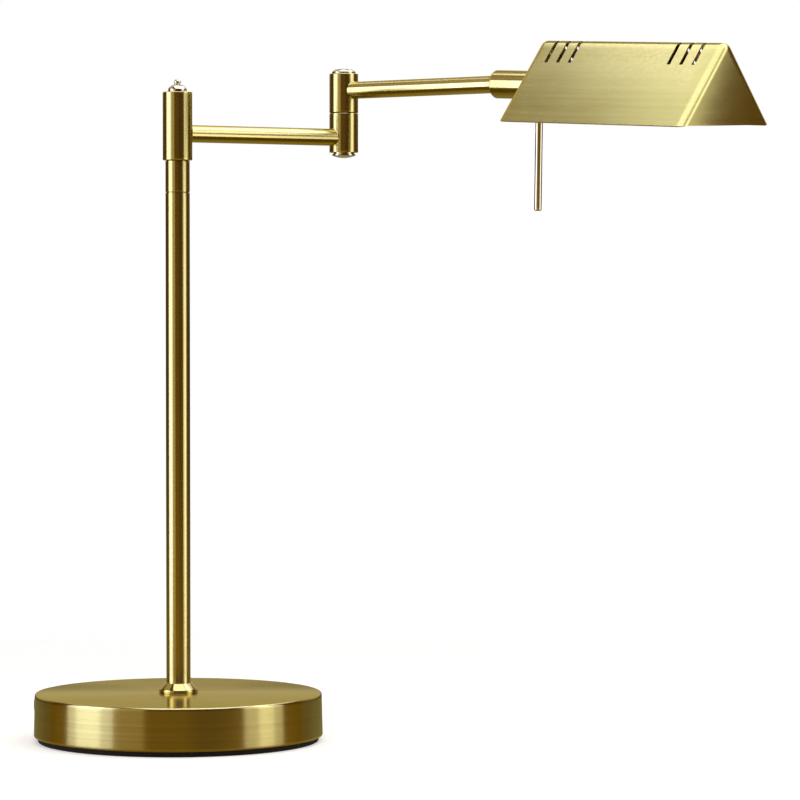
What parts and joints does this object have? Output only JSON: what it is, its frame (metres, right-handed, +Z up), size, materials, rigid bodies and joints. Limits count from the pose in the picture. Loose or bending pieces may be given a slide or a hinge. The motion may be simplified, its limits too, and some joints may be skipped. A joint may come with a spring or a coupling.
{
  "type": "swing arm desk lamp",
  "caption": "Desk lamp with a round weighted base, a straight pole, a two-part swing arm and a ridged shade that turns on the arm with a hanging handle rod.",
  "frame": {"origin": "centre of the base's underside, on the surface that the lamp stands on", "axes": "+Z up along the pole; +X the plan direction of the upper arm from the elbow to the head; the lower arm leads from the pole to the elbow 75.6 degrees left of +X"},
  "size_m": [0.4508, 0.272, 0.4607],
  "materials": {
    "satin_brass": "brushed antique brass plating, clear lacquer",
    "polished_brass": "polished pale brass plating",
    "turned_brass": "turned, unplated",
    "zinc_steel": "zinc plated",
    "iron": "as cast, dark",
    "pad_foam": "fine-celled black foam",
    "black_rubber": "moulded, matte",
    "nylon": "natural nylon",
    "white_plastic": "moulded white",
    "track_plastic": "moulded phenolic",
    "tray_aluminium": "satin extrusion",
    "board_white": "white solder mask on an aluminium core",
    "chip_yellow": "phosphor under silicone",
    "diffuser_opal": "opal acrylic",
    "lead_black": "PVC sleeve"
  },
  "bodies": {
    "stand": {"base_cover": "satin_brass", "base_weight": "iron", "base_pad": "pad_foam", "base_spacer": "zinc_steel", "base_nipple": "zinc_steel", "base_washer": "zinc_steel", "base_nut": "zinc_steel", "cord_grommet": "black_rubber", "foot_collar": "polished_brass", "pole_tube": "satin_brass", "pole_foot_plug": "turned_brass", "pole_top_plug": "turned_brass", "swivel_spindle": "turned_brass", "dimmer_bush": "nylon", "dimmer_track": "track_plastic", "finial": "polished_brass", "pole_lead": "lead_black"},
    "dimmer": {"dimmer_sleeve": "satin_brass", "dimmer_wiper": "turned_brass"},
    "lower_arm": {"hub_barrel": "satin_brass", "hub_bushes": "nylon", "lower_arm_tube": "satin_brass", "elbow_lower_barrel": "satin_brass", "elbow_pin": "turned_brass", "elbow_upper_cap": "polished_brass", "elbow_lower_cap": "polished_brass", "lower_arm_lead": "lead_black"},
    "upper_arm": {"elbow_upper_barrel": "satin_brass", "elbow_bushes": "nylon", "upper_arm_tube": "satin_brass", "arm_end_plug": "turned_brass", "head_pin": "turned_brass", "head_washers": "zinc_steel", "head_pin_nut": "zinc_steel", "upper_arm_lead": "lead_black"},
    "head": {"head_collar": "satin_brass", "handle_rod": "polished_brass", "shade_nipple": "zinc_steel", "shade_nut": "zinc_steel", "shade_sheet": "satin_brass", "shade_inner_end": "satin_brass", "shade_outer_end": "satin_brass", "tray_bracket": "zinc_steel", "light_tray": "tray_aluminium", "tray_end_caps": "white_plastic", "tray_screws": "zinc_steel", "led_board": "board_white", "led_chips": "chip_yellow", "diffuser": "diffuser_opal", "head_lead": "lead_black"}
  },
  "joints": [
    {"name": "dimmer_turn", "type": "hinge", "parent": "stand", "child": "dimmer", "pos_m": [0, 0, 0.3737], "axis": [0, 0, 1], "range_deg": [0, 270]},
    {"name": "hub_swing", "type": "hinge", "parent": "stand", "child": "lower_arm", "pos_m": [0, 0, 0.402], "axis": [0, 0, 1], "range_deg": [-170, 170]},
    {"name": "elbow_swing", "type": "hinge", "parent": "lower_arm", "child": "upper_arm", "pos_m": [0.03295, 0.12844, 0.4187], "axis": [0, 0, 1], "range_deg": [-89, 240]},
    {"name": "head_turn", "type": "hinge", "parent": "upper_arm", "child": "head", "pos_m": [0.16775, 0.12844, 0.4338], "axis": [0.9987, 0, -0.0501], "range_deg": [-90, 90]}
  ]
}
